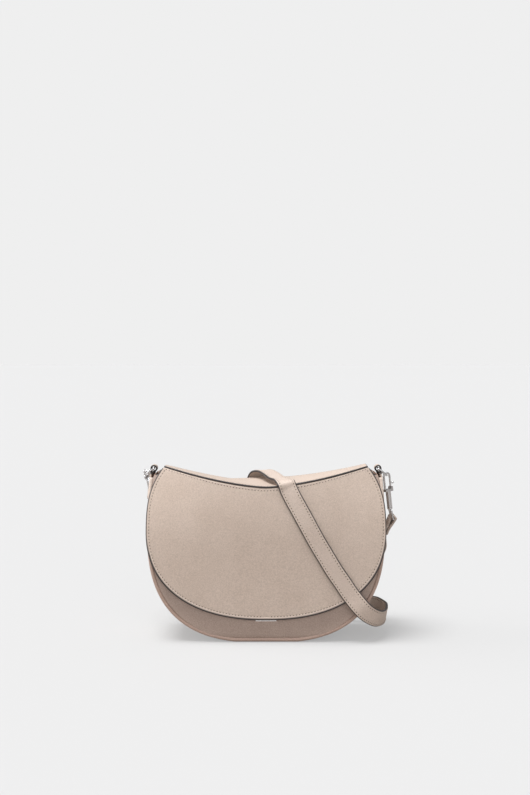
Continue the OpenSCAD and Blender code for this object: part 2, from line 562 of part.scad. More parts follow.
// Two places between route points, or one inside the tight folds
strap_line = [for (k = [0:route_end - 1]) for (j = [0:1])
    let(a = route[max(k - 1, 0)], b = route[k], c = route[k + 1], d = route[min(k + 2, route_end)], t = j / 2)
    if (j == 0 || (k >= fold_places && k < route_end - fold_places))
        [smooth(a[0], b[0], c[0], d[0], t), smooth(a[1], b[1], c[1], d[1], t)]];
strap_places = concat(strap_line, [route[route_end]]);
strap_last = len(strap_places) - 1;
function strap_section(k) = let(
    along = unit_of(strap_places[min(k + 1, strap_last)][0] - strap_places[max(k - 1, 0)][0]),
    face = unit_of(cross(along, strap_places[k][1])),
    across = cross(face, along), w = strap_w / 2, t = strap_t / 2, p = strap_places[k][0])
    [p + across * w + face * t, p - across * w + face * t, p - across * w - face * t, p + across * w - face * t];
module shoulder_strap() color([0.76, 0.68, 0.62]) swept([for (k = [0:strap_last]) strap_section(k)]);

front_panel();
back_panel();
gusset();
front_piping();
back_piping();
front_board();
back_board();
base_board();
front_lining();
back_lining();
gusset_lining();
slip_pocket();
closure_plate();
closure_magnet();
left_ring_tab();
right_ring_tab();
left_d_ring();
right_d_ring();
flap_roof();
flap_front();
flap_board();
roof_lining();
flap_lining();
flap_magnet();
left_hook();
right_hook();
left_gate();
right_gate();
left_gate_pin();
right_gate_pin();
left_swivel_eye();
right_swivel_eye();
shoulder_strap();
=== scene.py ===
import bpy
import numpy as np
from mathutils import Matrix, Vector


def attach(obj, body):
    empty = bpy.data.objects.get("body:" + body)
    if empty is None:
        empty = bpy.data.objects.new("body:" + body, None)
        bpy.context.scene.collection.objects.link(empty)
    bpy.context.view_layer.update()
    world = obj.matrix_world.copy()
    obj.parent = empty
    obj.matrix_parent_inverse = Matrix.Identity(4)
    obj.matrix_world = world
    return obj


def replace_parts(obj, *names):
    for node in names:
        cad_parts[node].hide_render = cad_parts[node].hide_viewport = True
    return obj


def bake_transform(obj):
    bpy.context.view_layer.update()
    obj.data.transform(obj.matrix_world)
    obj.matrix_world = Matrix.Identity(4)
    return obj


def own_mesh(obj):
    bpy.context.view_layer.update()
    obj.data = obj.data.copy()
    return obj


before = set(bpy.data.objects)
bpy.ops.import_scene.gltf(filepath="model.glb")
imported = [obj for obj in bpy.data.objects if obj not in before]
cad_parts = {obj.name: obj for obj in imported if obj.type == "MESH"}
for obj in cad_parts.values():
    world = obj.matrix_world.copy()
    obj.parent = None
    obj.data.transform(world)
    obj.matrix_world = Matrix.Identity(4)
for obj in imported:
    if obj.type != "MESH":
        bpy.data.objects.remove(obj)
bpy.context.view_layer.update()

mm = 0.001
print("frame loaded:", len(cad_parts), "nodes")


# View: the lens and the height follow the photograph's frame of 530 x 795
view = {
    "frame": (530, 795),
    "focalPixels": 1050,  # focal length in pixels of the frame
    "distance": 1.037,  # from the lens to the middle of the bag, in metres
    "height": 0.2762,
    "pitch": 2.3,  # degrees below level
    "side": -0.001,
}


def added(name, data):
    obj = bpy.data.objects.new(name, data)
    bpy.context.scene.collection.objects.link(obj)
    return obj


def addCamera(v):
    data = bpy.data.cameras.new("camera")
    data.sensor_width = 36
    data.lens = v["focalPixels"] / max(v["frame"]) * 36
    data.clip_start = 0.01
    cam = added("camera", data)
    cam.location = (v["side"], -v["distance"], v["height"])
    cam.rotation_euler = (np.radians(90 - v["pitch"]), 0, 0)
    bpy.context.scene.camera = cam


addCamera(view)
print("camera placed")


# Shader maths: one socket with the usual operators
class Signal:
    def __init__(self, tree, socket):
        self.tree, self.socket = tree, socket

    def join(self, operation, *others):
        node = self.tree.nodes.new("ShaderNodeMath")
        node.operation = operation
        for slot, value in zip(node.inputs, others):
            feed(self.tree, slot, value)
        return Signal(self.tree, node.outputs[0])

    def __add__(self, other): return self.join("ADD", self, other)
    def __sub__(self, other): return self.join("SUBTRACT", self, other)
    def __rsub__(self, other): return self.join("SUBTRACT", other, self)
    def __mul__(self, other): return self.join("MULTIPLY", self, other)
    def clamped(self): return self.join("MINIMUM", self.join("MAXIMUM", self, 0.0), 1.0)


def feed(tree, slot, value):
    if isinstance(value, Signal):
        tree.links.new(value.socket, slot)
    else:
        slot.default_value = value


# A node material, or the nodes of another owner such as the sky. In node(), a k followed by a number is an input's
# place in the list.
class Finish:
    def __init__(self, name, owner=None):
        self.material = owner or bpy.data.materials.new(name)
        self.material.use_nodes = True
        self.tree = self.material.node_tree
        self.tree.nodes.clear()

    def node(self, kind, settings=None, output=0, **values):
        n = self.tree.nodes.new("ShaderNode" + kind)
        for key, value in (settings or {}).items():
            setattr(n, key, value)
        for key, value in values.items():
            feed(self.tree, n.inputs[int(key[1:]) if key[1:].isdigit() else key.replace("_", " ")], value)
        return None if output is None else Signal(self.tree, n.outputs[output])

    def objectPlace(self):
        return self.node("TexCoord", output=3)

    def attribute(self, name):
        return self.node("Attribute", {"attribute_name": name}, output=2)

    def blend(self, share, first, second):
        return self.node("Mix", {"data_type": "RGBA"}, output=2, k0=share, k6=first, k7=second)

    def noise(self, place, scale, detail=2.0, rough=0.5):
        return self.node("TexNoise", Vector=place, Scale=scale, Detail=detail, Roughness=rough)

    def surface(self, **values):
        self.node("OutputMaterial", k0=self.node("BsdfPrincipled", **values), output=None)
        return self.material


# Screen colour, 0 to 255, as linear light
def rgb(r, g, b):
    c = np.array([r, g, b]) / 255
    linear = np.where(c <= 0.04045, c / 12.92, ((c + 0.055) / 1.055) ** 2.4)
    return (float(linear[0]), float(linear[1]), float(linear[2]), 1.0)


# Shape of the bag in millimetres, as in the CAD part
shape = {
    "halfW": 115.5,  # half the width over the side seams
    "bodyH": 160.0,
    "halfD": 35.0,
    "waistH": 114.0,
    "frontDraw": 15.0,  # how far the front draws in at its upper corners
    "topLean": 6.0,  # how far the front leans back at the roof's middle
    "leanH": 95.0,  # height at which it begins to lean
    "backDraw": 4.0,
    "sidePower": 2.7,
    "baseShare": 0.99,
    "shoulderIn": 1.5,
    "roofW": 198.5,
    "roofMidH": 150.5,
    "roofRise": 18.5,
    "roofPower": 1.5,
    "pipingD": 4.0,
    "leatherT": 1.4,
    "boardT": 0.8,
    "liningT": 0.6,
    "gap": 0.2,  # between two layers of one wall
    "clear": 0.4,  # room under the strap, and from the walls' rims up to the roof
    "flapW": 232.0,
    "flapWaistH": 108.5,
    "flapLowH": 22.0,
    "flapGap": 1.6,
    "flapT": 3.2,
    "flapPower": 2.29,
    "flapShoulderShare": 0.0675,  # how far its upper corners draw in, as a share of its width
    "flapShoulderPower": 2.9,
    "roofProud": 0.5,  # how far the roof's front edge stands before the flap
}
s = shape  # a short name, since most formulas read it
flapFace = s["flapGap"] + s["flapT"]
flapShoulderIn = s["flapShoulderShare"] * s["flapW"]
liningDepth = s["leatherT"] + s["gap"] + s["boardT"] + s["gap"]


# Depth draws in with the square of the width share times the square of the height share
def lift(x, z):
    return (x / s["halfW"]) ** 2 * (z / s["bodyH"]) ** 2


# The front leans back with the square of the height above leanH
def frontY(x, z):
    rise = np.maximum(z - s["leanH"], 0) / (s["roofMidH"] - s["leanH"])
    return s["frontDraw"] * lift(x, z) + s["topLean"] * rise ** 2 - s["halfD"]


def backY(x, z):
    return s["halfD"] - s["backDraw"] * lift(x, z)


# The roof rises from its middle with the 1.5th power of the distance
def roofZ(x):
    return s["roofMidH"] + s["roofRise"] * np.abs(2 * x / s["roofW"]) ** s["roofPower"]


# The soft roof sinks towards its rear edge, but rises to the strap that crosses it, and its rear corners spread
sag = {
    "from": -22.0,  # depth at which it begins
    "power": 1.3,  # how late it grows from there to the rear edge
    "across": (-99, -35, -12, -2, 10, 22, 90),  # places along the width
    "drop": (4.7, 4.2, 0.0, -2.2, -1.5, 0.0, 3.2),  # how far the rear edge sinks there
    "spread": 3.0,  # how far each rear corner moves out
    "boardLow": 1.4,  # from the back panel's rim down to its board's
}


# The share of the fall at a depth is a power of the way to the rear edge. Points sink by it and move outwards.
def sinkShare(y):
    return np.clip((y - sag["from"]) / (s["halfD"] - sag["from"]), 0, 1) ** sag["power"]


def sinkAt(x, y):
    return np.interp(x, sag["across"], sag["drop"]) * sinkShare(y)


def sunk(points):
    x, y, z = points[..., 0], points[..., 1], points[..., 2]
    wider = 1 + sinkShare(y) * sag["spread"] / (s["roofW"] / 2)
    return np.stack([x * wider, y, z - sinkAt(x, y)], -1)


def unit(v):
    return v / np.linalg.norm(v, axis=-1, keepdims=True)


def tangents(path):
    return unit(np.gradient(path, axis=0))


# How far along a line each of its points is
def runLength(points):
    return np.concatenate([[0], np.cumsum(np.linalg.norm(np.diff(points, axis=0), axis=1))])


# A table's values at places along a line, from how far along it the table's rows are
def valuesAt(places, far, table):
    return np.stack([np.interp(places, far, table[:, k]) for k in range(table.shape[1])], 1)


# Points spaced evenly along a line
def evenly(points, count):
    far = runLength(points)
    return valuesAt(np.linspace(0, far[-1], count), far, points)


# Right half of the body's outline: a superellipse below the waist, a slight draw-in above it
def sideLine(inset, top):
    share = (s["waistH"] - inset) / (s["waistH"] / s["baseShare"] - inset)
    t = np.linspace(np.arcsin(share ** (s["sidePower"] / 2)), 0, 120)
    low = np.stack([(s["halfW"] - inset) * np.cos(t) ** (2 / s["sidePower"]),
                    s["waistH"] - (s["waistH"] / s["baseShare"] - inset) * np.sin(t) ** (2 / s["sidePower"])], 1)
    z = np.linspace(s["waistH"], top, 30)[1:]
    rise = (z - s["waistH"]) / (s["bodyH"] - s["waistH"])
    return np.concatenate([low, np.stack([s["halfW"] - inset - s["shoulderIn"] * rise ** 2, z], 1)])


def mirrored(points):
    return points[::-1] * np.array([-1, 1])


# Right half of the flap: a superellipse below its waist, and above it a draw-in by a power of the height
def flapSide(inset, below):
    a = s["flapW"] / 2 - inset
    b = s["flapWaistH"] - s["flapLowH"] - inset
    t = np.linspace(np.pi / 2, 0, 140)
    low = np.stack([a * np.cos(t) ** (2 / s["flapPower"]),
                    s["flapWaistH"] - b * np.sin(t) ** (2 / s["flapPower"])], 1)
    top = roofZ(s["roofW"] / 2) - below - inset
    rise = np.linspace(0, 1, 50)[1:]
    high = np.stack([a - flapShoulderIn * rise ** s["flapShoulderPower"],
                     s["flapWaistH"] + (top - s["flapWaistH"]) * rise], 1)
    return np.concatenate([low, high])


# The flap's whole outline: both sides, and the roof's curve at a distance below it
def flapOutline(inset, below):
    right = flapSide(inset, below)
    x = np.linspace(1, -1, 90) * (s["roofW"] / 2 - inset)
    top = np.stack([x, roofZ(x) - below - inset], 1)
    return np.concatenate([right, top, mirrored(right)[:-1]])


# Closed outline, evenly spaced, with its sharp corners eased by averaging neighbours
def eased(outline, count, rounds=3):
    p = evenly(np.concatenate([outline, outline[:1]]), count + 1)[:-1]
    for k in range(rounds):
        p = (np.roll(p, 1, 0) + 2 * p + np.roll(p, -1, 0)) / 4
    return p


# A wall's outline: both sides, and a rim that follows the roof at a depth. Far in front, the roof hasn't sunk.
def wall(inset, count, low=0, depth=-100.0):
    right = sideLine(inset, s["bodyH"] - low - s["pipingD"] / 2)
    reach = right[-1, 0] - s["pipingD"] / 2
    x = np.linspace(reach, -reach, 80)
    rim = np.minimum(roofZ(x) - sinkAt(x, depth) - s["flapT"] - s["clear"], s["bodyH"]) - low
    return eased(np.concatenate([right, np.stack([x, rim], 1), mirrored(right)]), count)


def makeMesh(name, points, faces, material, values=None):
    mesh = bpy.data.meshes.new(name)
    mesh.from_pydata((points * mm).tolist(), [], faces)
    mesh.polygons.foreach_set("use_smooth", np.ones(len(mesh.polygons), bool))
    for key, value in (values or {}).items():
        mesh.attributes.new(key, "FLOAT", "POINT").data.foreach_set("value", np.asarray(value, np.float32))
    mesh.materials.append(material)
    mesh.update()
    return added(name, mesh)


# Faces between closed loops, with a fan to a point at each end
def shellFaces(rows, n):
    a = 1 + np.arange(rows - 1)[:, None] * n + np.arange(n)[None]
    b = 1 + np.arange(rows - 1)[:, None] * n + (np.arange(n)[None] + 1) % n
    quads = np.stack([a, b, b + n, a + n], -1).reshape(-1, 4)
    i = np.arange(n)
    j = (i + 1) % n
    last = 1 + (rows - 1) * n
    caps = np.concatenate([np.stack([i * 0, 1 + j, 1 + i], 1), np.stack([i * 0 + last + n, last + i, last + j], 1)])
    return quads, caps


# The same faces, turned over where the volume that they close is negative
def outwards(points, quads, caps):
    tris = np.concatenate([quads[:, [0, 1, 2]], quads[:, [0, 2, 3]], caps])
    p, q, r = (points[tris[:, k]] for k in range(3))
    turn = -1 if np.einsum("ij,ij->i", p, np.cross(q, r)).sum() < 0 else 1
    return quads[:, ::turn].tolist() + caps[:, ::turn].tolist()


# A closed surface through loops (rows x n x 3), with one value a loop point for each attribute
def shell(name, loops, material, start=None, end=None, **values):
    rows, n = loops.shape[:2]
    start = loops[0].mean(0) if start is None else start
    end = loops[-1].mean(0) if end is None else end
    points = np.concatenate([[start], loops.reshape(-1, 3), [end]])
    full = {k: np.concatenate([[v.flat[0]], v.reshape(-1), [v.flat[-1]]]) for k, v in values.items()}
    return makeMesh(name, points, outwards(points, *shellFaces(rows, n)), material, full)


rings = {
    "inner": 22,  # rings between the middle and the seam
    "rearStep": 3,  # one in so many of them is used on the rear face
    "seam": (6.5, 3.5, 1.6, 0.9, 0.55, 0.3, 0.1, -0.1, -0.3, -0.55, -0.9),  # rings beside the seam, by distance
    "rear": (2.6, 5.2, 10.0),  # the first rings on the rear face, from the edge
    "round": 11,  # rings on the half-round edge
    "apart": 0.05,
    "grooveHalf": 0.45,
    "paintFade": 0.25,
    "highlightFrom": 0.35,  # the painted highlight on the rim begins this far outside the seam
    "highlightFade": 0.3,
    "flattest": 0.55,  # the least slope of a ray to the edge that insets reckon with
}


# The outline drawn in along rays to the middle, by a distance that is measured square to its edge
def inward(outline, middle, inset):
    ahead = unit(np.roll(outline, -2, 0) - np.roll(outline, 2, 0))
    out = np.stack([ahead[:, 1], -ahead[:, 0]], 1)
    ray = unit(outline - middle)
    slope = np.maximum(np.einsum("ij,ij->i", out, ray), rings["flattest"])[:, None]
    return outline - ray * inset / slope


# A curved sheet inside an outline, as rings drawn in from it. Its edge is a half round. A shallow stitch groove, a
# bell curve, runs at the seam's distance, which may differ round the edge, and so may the reach of the edge paint.
# glow sets a painted highlight on the rim outside the seam.
def sheet(name, outline, middle, place, t, material, edge=None, groove=0.0, seam=2.6, paintIn=None, glow=0.0):
    n = len(outline)
    edge = edge or t
    r = edge / 2
    seam = np.broadcast_to(seam, n)
    paintIn = np.broadcast_to(r if paintIn is None else paintIn, n)
    around = np.array(rings["seam"])
    insets = [np.maximum(seam + a, r * 1.02 + rings["apart"] * k) for k, a in enumerate(around[::-1])][::-1]
    turn = np.linspace(0, np.pi, rings["round"])
    profile = [(i, groove * np.exp(-((i - seam) / rings["grooveHalf"]) ** 2)) for i in insets]
    profile += [(np.full(n, r - r * np.sin(a)), np.full(n, r - r * np.cos(a))) for a in turn]
    if edge > t:
        profile += [(np.full(n, r * 1.05), np.full(n, t))]
    profile += [(np.full(n, i), np.full(n, t)) for i in rings["rear"]]
    inner = inward(outline, middle, profile[0][0][:, None])

    def plainRing(k, depth):
        return middle + (inner - middle) * k / rings["inner"], np.full(n, depth), np.zeros(n), np.zeros(n)

    rows = [plainRing(k, 0.0) for k in range(1, rings["inner"])]
    for inset, depth in profile:
        paint = np.clip((paintIn - inset) / rings["paintFade"] + 0.5, 0, 1) * (paintIn > 0)
        # rim: a painted highlight on the margin outside the stitches, as strong as glow says
        rim = np.clip((seam - rings["highlightFrom"] - inset) / rings["highlightFade"], 0, 1) * glow * (depth < edge * 0.98)
        rows.append((inward(outline, middle, inset[:, None]), depth, paint, rim))
    rows += [plainRing(k, t) for k in range(rings["inner"] - 1, 0, -rings["rearStep"])]
    points, depths, paint, rim = (np.stack(column) for column in zip(*rows))

    def lay(points, d):
        return np.stack([points[..., 0], place(points[..., 0], points[..., 1], d), points[..., 1]], -1)
    return shell(name, lay(points, depths), material, lay(middle, 0.0), lay(middle, t), paint=paint, rim=rim)


# Many copies of one small template, each turned to its own along, side and up directions
def scatter(name, template, faces, places, along, side, up, material):
    points = (places[:, None] + template[None, :, 0:1] * along[:, None]
              + template[None, :, 1:2] * side[:, None] + template[None, :, 2:3] * up[:, None])
    m = len(template)
    allFaces = []
    for f in faces:
        allFaces += (np.arange(len(places))[:, None] * m + np.array(f)[None]).tolist()
    return makeMesh(name, points.reshape(-1, 3), allFaces, material)


thread = {
    "pitch": 3.0,  # from stitch to stitch
    "length": 2.3,
    "width": 0.62,
    "rise": 0.42,
    "inset": 2.6,  # from the painted edge
    "slant": 0.06,  # sideways lean of a stitch, as a share of its length
    "proud": 0.6,  # how far a stitch's middle stands out, as a share of half its rise
    "endSink": 0.2,  # how far its ends go in, as a share of its rise
    "holeLength": 1.2,
    "holeWidth": 0.85,
    "holeRise": 0.12,
    "reach": 0.9,  # a stitch's direction is taken this far before and behind it
}


# A bead round its own length: its girth is the root of 1 less the 3.2nd power of the place, from -1 to 1
def bead(length, width, rise, slant):
    u = np.array([-0.86, -0.5, 0, 0.5, 0.86])
    girth = (1 - np.abs(u) ** 3.2) ** 0.5
    a = np.linspace(0, 2 * np.pi, 6, endpoint=False)
    raised = (girth * rise / 2)[:, None] * thread["proud"]
    loops = np.stack([np.broadcast_to((u * length / 2)[:, None], (len(u), len(a))),
                      girth[:, None] * np.cos(a)[None] * width / 2 + (u * length / 2 * slant)[:, None],
                      girth[:, None] * np.sin(a)[None] * rise / 2 + raised], -1)
    end = np.array([length / 2, length / 2 * slant, -rise * thread["endSink"]])
    points = np.concatenate([[end * (-1, -1, 1)], loops.reshape(-1, 3), [end]])
    return points, outwards(points, *shellFaces(len(u), len(a)))


# A row of stitches with needle holes, drawn as small dark beads of painted shade, along a line that lies on a surface;
# up is the surface's outward direction
def stitchRow(name, line, up, ends=1.5):
    far = runLength(line)
    count = max(int((far[-1] - 2 * ends) / thread["pitch"]), 1)
    at = (far[-1] - (count - 1) * thread["pitch"]) / 2 + np.arange(count) * thread["pitch"]

    def row(ending, template, places, material):
        before, here, after = (valuesAt(places + k * thread["reach"], far, line) for k in (-1, 0, 1))
        along = unit(after - before)
        side = unit(np.cross(unit(valuesAt(places, far, up)), along))
        return scatter(name + ending, *template, here, along, side, np.cross(along, side), material)

    stitch = bead(thread["length"], thread["width"], thread["rise"], thread["slant"])
    # Dark beads between the stitches: painted shade of the needle holes
    holeShade = bead(thread["holeLength"], thread["holeWidth"], thread["holeRise"], 0)
    rows = [row("_stitches", stitch, at, threadFinish)]
    if count > 1:
        rows.append(row("_needle_holes", holeShade, at[:-1] + thread["pitch"] / 2, holeShadeFinish))
    return rows


hide = {
    "grain": 1150.0,  # pebbles a metre
    "clouds": 38.0,
    "rough": 0.52,
    "paintSmooth": 0.12,  # how much smoother the painted edges are
    "bump": 0.16,
    "bumpDepth": 0.0006,
    "coat": 0.05,
    "worn": 0.35,  # shares in the colour
    "pores": 0.32,
    "mottle": 0.22,
    "rim": 0.75,  # of the painted highlight on the rim outside the flap's stitches
    "darker": 0.72,  # dark specks, as a share of the dark tone
    "litTopFrom": 1.2,  # painted light: the paler top tone comes in over one metre divided by the next value, starting from this value divided by it
    "litTopRise": 18.0,
    "edge": (54, 49, 49),
}


def brighter(colour, step, most=250):
    return rgb(*[min(c + step, most) for c in colour])


def darker(colour, share):
    return rgb(*[c * share for c in colour])


# Pebbled leather. Colour varies in soft clouds and a fine mottle, the grain is a bump of cells and noise, and painted
# edges follow the paint attribute.
def leather(name, light, dark, edge=hide["edge"], grain=hide["grain"], litTop=None):
    f = Finish(name)
    place = f.objectPlace()
    cells = f.node("TexVoronoi", {"feature": "DISTANCE_TO_EDGE"}, Vector=place, Scale=grain)
    fine = f.noise(place, grain * 2.2, 3.0)
    clouds = f.noise(place, hide["clouds"], 4.0, 0.6)
    specks = f.noise(place, grain * 0.9, 1.0)
    mottle = f.noise(place, grain * 0.8, 2.0, 0.6)
    pebbles = (cells * 3.2).clamped()
    paint = f.attribute("paint").clamped()
    height = (pebbles * 0.7 + fine * 0.3) * (1.0 - paint) + clouds * 0.4
    colour = f.blend((clouds * 1.6 - 0.3).clamped(), rgb(*dark), rgb(*light))
    # A paler tone that comes in with height: painted light towards the top, over a base that is painted shade
    if litTop:
        rise = f.node("SeparateXYZ", Vector=place, output=2)
        colour = f.blend((rise * hide["litTopRise"] - hide["litTopFrom"]).clamped(), colour, rgb(*litTop))
    colour = f.blend((specks * 2.4 - 1.25).clamped() * hide["worn"], colour, brighter(light, 16))
    colour = f.blend((0.55 - pebbles).clamped() * hide["pores"], colour, darker(dark, hide["darker"]))
    colour = f.blend(((0.5 - mottle) * 6.0).clamped() * hide["mottle"], colour, darker(dark, hide["darker"]))
    colour = f.blend(((mottle - 0.5) * 6.0).clamped() * hide["mottle"], colour, brighter(light, 24))
    # A painted highlight on the rim outside the flap's stitches
    colour = f.blend(f.attribute("rim").clamped() * hide["rim"], colour, brighter(light, 34, 246))
    colour = f.blend(paint, colour, rgb(*edge))
    bump = f.node("Bump", Strength=hide["bump"], Distance=hide["bumpDepth"], Height=height)
    return f.surface(Base_Color=colour, Roughness=(fine * 0.16 + (hide["rough"] - 0.08)) - paint * hide["paintSmooth"],
                     Normal=bump, Coat_Weight=hide["coat"], Coat_Roughness=0.35, Specular_IOR_Level=0.4)


# Short nap: fine noise in the colour and the bump, over soft clouds
def suede(name, light, dark):
    f = Finish(name)
    place = f.objectPlace()
    nap = f.noise(place, 1800.0, 4.0, 0.7)
    clouds = f.noise(place, 55.0, 3.0)
    base = f.blend((clouds * 1.5 - 0.25).clamped(), rgb(*dark), rgb(*light))
    colour = f.blend((nap * 2.0 - 0.8).clamped() * 0.25, base, darker(dark, 0.78))
    bump = f.node("Bump", Strength=0.2, Distance=0.0004, Height=nap)
    return f.surface(Base_Color=colour, Roughness=nap * 0.1 + 0.78, Normal=bump, Specular_IOR_Level=0.2)


# Polished metal: haze in the roughness, and a faint fine bump
def metal(name, colour, rough):
    f = Finish(name)
    place = f.objectPlace()
    haze = f.noise(place, 420.0, 3.0, 0.6)
    wear = f.noise(place, 2600.0, 2.0)
    bump = f.node("Bump", Strength=0.04, Distance=0.0002, Height=wear)
    return f.surface(Base_Color=rgb(*colour), Metallic=1.0, Roughness=haze * 0.12 + rough, Normal=bump)


# Fine noise between two tones, in the roughness too and, for thread, in a bump
def fibrous(name, light, dark, noise, rough, bump=0.0):
    f = Finish(name)
    fibres = f.noise(f.objectPlace(), *noise)
    raised = {"Normal": f.node("Bump", Strength=bump, Distance=0.0002, Height=fibres)} if bump else {}
    return f.surface(Base_Color=f.blend(fibres, rgb(*dark), rgb(*light)), Roughness=fibres * rough[0] + rough[1],
                     **raised)


# A light and a dark tone for each finish that varies, as screen colours
tones = {
    "body": ((203, 186, 173), (190, 172, 158)),
    "strap": ((206, 190, 178), (194, 176, 163)),
    # The front panel's tones: the body leather darkened, as painted shade under the flap
    "panel": ((178, 158, 146), (162, 142, 131)),
    # The piping's darker pinkish base is painted shade low down, and its paler top tone is painted light
    "piping": ((186, 160, 146), (170, 144, 131)),
    "pipingLitTop": (216, 200, 187),
    "tab": ((200, 184, 172), (188, 171, 158)),
    "tabEdge": (40, 34, 34),
    "lining": ((189, 158, 141), (174, 144, 127)),
    "thread": ((214, 200, 187), (188, 172, 158)),
    # Needle holes: painted shade
    "holeShade": ((84, 70, 64), (58, 48, 44)),
    "board": ((172, 156, 132), (146, 130, 108)),
}
bodyLeather = leather("body_leather", *tones["body"])
strapLeather = leather("strap_leather", *tones["strap"], grain=1300.0)
# Front panel leather: a darker copy of the body leather, painted shade
shadedPanelLeather = leather("panel_leather", *tones["panel"])
# Piping: painted shade low down and painted light towards the top
pipingShadedLitLeather = leather("piping_leather", *tones["piping"], grain=1500.0, litTop=tones["pipingLitTop"])
tabLeather = leather("tab_leather", *tones["tab"], edge=tones["tabEdge"])
liningSuede = suede("lining_suede", *tones["lining"])
threadFinish = fibrous("thread", *tones["thread"], (3200.0, 2.0), (0.2, 0.5), 0.3)
# Needle holes: dark beads of painted shade
holeShadeFinish = fibrous("needle_hole", *tones["holeShade"], (900.0, 5.0, 0.7), (0.1, 0.8))
polished = metal("polished_metal", (208, 208, 210), 0.16)
plateFinish = metal("plate_metal", (236, 236, 237), 0.22)
boardFinish = fibrous("fibre_board", *tones["board"], (900.0, 5.0, 0.7), (0.1, 0.8))
magnetFinish = metal("magnet", (150, 150, 154), 0.3)
print("finishes made")


# Pieces: each is attached to its body, and the CAD node it stands for is hidden
def settle(obj, node=None, body="root"):
    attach(obj, body)
    if node:
        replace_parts(obj, node)


def hinge(obj, node=None):
    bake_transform(obj)
    if node:
        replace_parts(obj, node)


# Outward direction, towards -Y, of a face y = place(x, z), from its slopes over a short step
def faceUp(flat, place):
    e = 0.05
    gx = (place(flat[:, 0] + e, flat[:, 1]) - place(flat[:, 0] - e, flat[:, 1])) / (2 * e)
    gz = (place(flat[:, 0], flat[:, 1] + e) - place(flat[:, 0], flat[:, 1] - e)) / (2 * e)
    return unit(np.stack([gx, -np.ones(len(flat)), gz], 1))


def onFace(flat, place):
    return np.stack([flat[:, 0], place(flat[:, 0], flat[:, 1]), flat[:, 1]], 1)


# The outward direction of a band whose path runs in the x, z plane
def bandUp(flat):
    ahead = tangents(flat)
    return np.stack([ahead[:, 1], np.zeros(len(flat)), -ahead[:, 0]], 1)


# The direction of the bag's depth, once for each place of a path
def depthWise(path):
    return np.broadcast_to([0.0, 1.0, 0.0], (len(path), 3))


# A strip along a path, as wide as halfWidth says at each place, with half-round edges and ends. The crown is a swell
# that falls with the square of the place across. endPaint is one value, or one for each end.
def strip(name, path, side, up, halfWidth, t, material, across=9, crown=0.0, endPaint=1.0, edgePaint=1.0, bend=None):
    r = t / 2
    u = np.linspace(-1, 1, across)
    a = np.linspace(np.pi / 2, -np.pi / 2, 9)[1:-1]
    one = np.ones(len(a))
    us = np.concatenate([u, one, u[::-1], -one])
    es = np.concatenate([u * 0, r * np.cos(a), u * 0, -r * np.cos(a)])
    vs = np.concatenate([u * 0 + r, r * np.sin(a), u * 0 - r, -r * np.sin(a)])
    vs = vs + crown * (1 - us ** 2)
    paint = np.concatenate([u * 0, one, u * 0, one]) * edgePaint
    along = tangents(path)
    turns = np.radians([12, 35, 62])  # the loops that round off each end
    head = path[0] - along[0] * (r * np.cos(turns))[:, None]
    tail = path[-1] + along[-1] * (r * np.cos(turns[::-1]))[:, None]
    full = np.concatenate([head, path, tail])

    def withEnds(v):
        return np.concatenate([np.repeat(v[:1], len(turns), 0), v, np.repeat(v[-1:], len(turns), 0)])
    sides, ups, halves = withEnds(side), withEnds(up), withEnds(np.broadcast_to(halfWidth, len(path)))
    thin = np.concatenate([np.sin(turns), np.ones(len(path)), np.sin(turns[::-1])])
    reach = us[None] * (halves - r)[:, None] + es[None] * thin[:, None]
    loops = full[:, None] + sides[:, None] * reach[..., None] + ups[:, None] * (vs[None] * thin[:, None])[..., None]
    if bend:
        loops = bend(loops)
    headPaint, tailPaint = np.broadcast_to(endPaint, 2)
    ends = np.concatenate([np.full(len(turns), headPaint), np.zeros(len(path)), np.full(len(turns), tailPaint)])
    painted = np.maximum(paint[None], ends[:, None])
    return shell(name, loops, material, paint=painted)


# Body: front and back panels, their linings, the back board and the pocket
walls = {
    "panelInset": 3.65,  # the panels' edges tuck into the piping
    "liningInset": 5.7,
    "reach": 3.2,  # how much lower the front panel's base edge comes
    "reachZ": 30.0,
    "curl": 3.0,  # how far that edge curls under
    "curlZ": 9.0,
    "paintBelow": 14.0,  # the rim is painted down to this far below the roof
    "paintShort": 7.5,  # and as far out as this from the side seams
}
middle = np.array([0.0, s["bodyH"] / 2])


# The front panel's base edge comes down lower and curls under, both with the square of the height below a level
def reached(points):
    below = np.clip(1 - points[:, 1] / walls["reachZ"], 0, 1)
    return points - np.stack([points[:, 0] * 0, walls["reach"] * below ** 2], 1)


def curl(z):
    return walls["curl"] * np.clip(1 - z / walls["curlZ"], 0, 1) ** 2


# A layer of the back wall, by its distance inwards from the wall's face
def behindBack(distance):
    return lambda x, z, d: backY(x, z) - distance - d


# Edge paint on the rim only; both panels' outlines have the same count of points, so one row of values serves both
frontLine = reached(wall(walls["panelInset"], 440))
backLine = wall(walls["panelInset"], 440, depth=s["halfD"])
highUp = frontLine[:, 1] > roofZ(frontLine[:, 0]) - walls["paintBelow"]
inside = np.abs(frontLine[:, 0]) <= s["halfW"] - walls["paintShort"]
rimPaint = np.where(highUp & inside, s["leatherT"] / 2, 0)
# The front panel wears the darker leather: painted shade under the flap
settle(sheet("front_panel_leather", frontLine, middle, lambda x, z, d: frontY(x, z) + curl(z) + d,
             s["leatherT"], shadedPanelLeather, paintIn=rimPaint), "front_panel")
settle(sheet("back_panel_leather", backLine, middle, behindBack(0), s["leatherT"], bodyLeather, paintIn=rimPaint),
       "back_panel")
settle(sheet("front_lining_suede", wall(walls["liningInset"], 360), middle,
             lambda x, z, d: frontY(x, z) + liningDepth + d, s["liningT"], liningSuede), "front_lining")
settle(sheet("back_lining_suede", wall(walls["liningInset"], 360, depth=s["halfD"]), middle, behindBack(liningDepth),
             s["liningT"], liningSuede), "back_lining")
settle(sheet("back_board_fibre", wall(walls["liningInset"], 360, sag["boardLow"], s["halfD"]), middle,
             behindBack(s["leatherT"] + s["gap"]), s["boardT"], boardFinish), "back_board")

